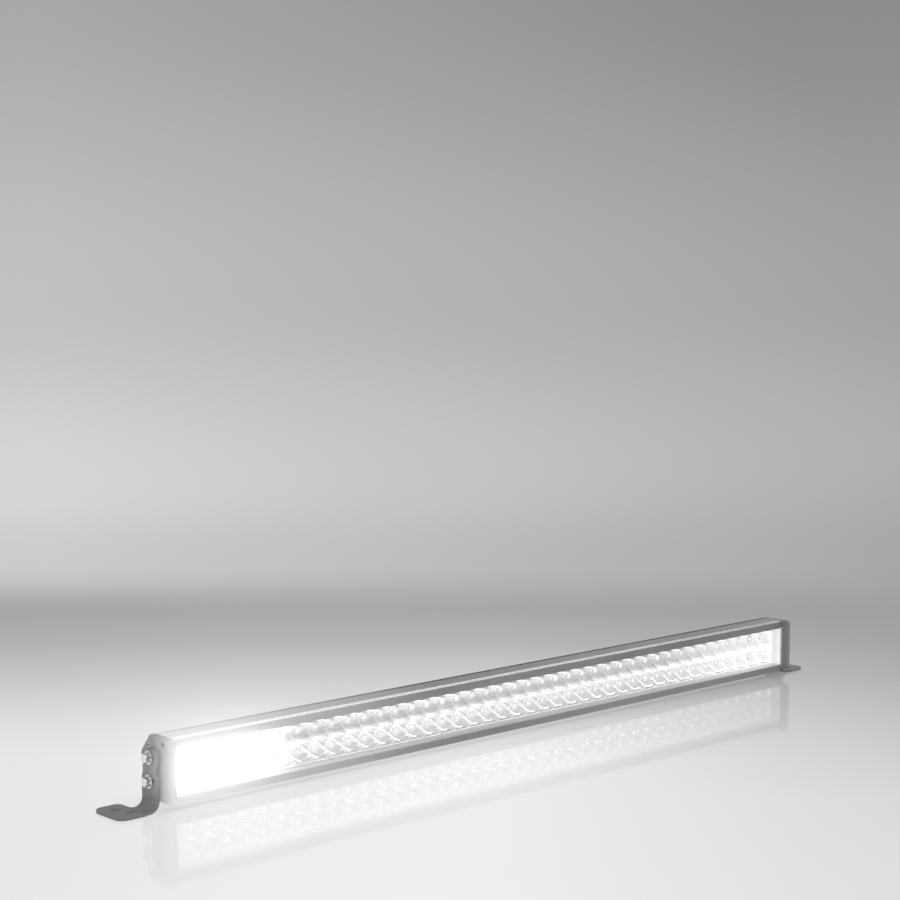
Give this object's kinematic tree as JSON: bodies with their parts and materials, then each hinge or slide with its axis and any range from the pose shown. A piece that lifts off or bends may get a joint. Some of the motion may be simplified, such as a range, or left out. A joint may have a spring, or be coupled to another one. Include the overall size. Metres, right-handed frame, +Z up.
{
  "type": "led light bar",
  "caption": "Straight double-row LED light bar in an extruded housing, tilting between two bolted L-shaped foot brackets, with a rear cable and plug.",
  "frame": {"origin": "midway between the round mounting holes of the two feet, on the surface the feet are bolted to", "axes": "+X along the bar, towards the right-hand end seen from behind; the lens faces -Y; +Z up, away from the mounting surface"},
  "size_m": [1.177, 0.106, 0.0805],
  "materials": {
    "housing_coat": "satin powder coat on extruded aluminium",
    "clear_lens": "clear polycarbonate with a hard coat",
    "silicone": "matt",
    "cap_coat": "fine-textured powder coat on cast aluminium",
    "cap_screw_steel": "satin stainless",
    "reflector_plating": "vacuum-plated plastic",
    "board_mask": "white solder mask on an aluminium-core board",
    "led_phosphor": "phosphor under a clear dome",
    "pad_silicone": "matt, heat conducting",
    "driver_mask": "solder mask",
    "winding": "shielded winding",
    "capacitor_can": "printed sleeve left plain",
    "transistor_case": "moulded",
    "lead_sheath": "silicone sheath",
    "gland_nylon": "moulded nylon",
    "cable_sheath": "satin",
    "connector_nylon": "moulded nylon",
    "contact_brass": "tinned",
    "connector_silicone": "matt",
    "bracket_coat": "satin powder coat on steel sheet",
    "bolt_steel": "zinc plated or stainless",
    "washer_steel": "zinc plated or stainless"
  },
  "bodies": {
    "brackets": {"left_bracket": "bracket_coat", "right_bracket": "bracket_coat"},
    "lamp": {"housing": "housing_coat", "lens": "clear_lens", "upper_lens_seal": "silicone", "lower_lens_seal": "silicone", "left_end_cap": "cap_coat", "right_end_cap": "cap_coat", "left_cap_gasket": "silicone", "right_cap_gasket": "silicone", "cap_screws": "cap_screw_steel", "reflector_1": "reflector_plating", "reflector_2": "reflector_plating", "reflector_3": "reflector_plating", "reflector_4": "reflector_plating", "reflector_5": "reflector_plating", "reflector_6": "reflector_plating", "left_led_board": "board_mask", "middle_led_board": "board_mask", "right_led_board": "board_mask", "left_leds": "led_phosphor", "middle_leds": "led_phosphor", "right_leds": "led_phosphor", "left_thermal_pad": "pad_silicone", "middle_thermal_pad": "pad_silicone", "right_thermal_pad": "pad_silicone", "board_screws": "cap_screw_steel", "driver_board": "driver_mask", "driver_inductors": "winding", "driver_capacitors": "capacitor_can", "driver_transistors": "transistor_case", "led_leads": "lead_sheath", "supply_leads": "lead_sheath", "cable_gland": "gland_nylon", "gland_seal": "silicone", "gland_nut": "gland_nylon", "power_cable": "cable_sheath", "connector_body": "connector_nylon", "connector_pins": "contact_brass", "connector_seal": "connector_silicone", "vent_plug": "gland_nylon", "vent_o_ring": "silicone", "pivot_bolts": "bolt_steel", "lock_bolts": "bolt_steel", "flat_washers": "washer_steel", "spring_washers": "washer_steel"}
  },
  "joints": [
    {"name": "tilt", "type": "hinge", "parent": "brackets", "child": "lamp", "pos_m": [0, -0.0192, 0.058], "axis": [1, 0, 0], "range_deg": [-15, 15]}
  ]
}
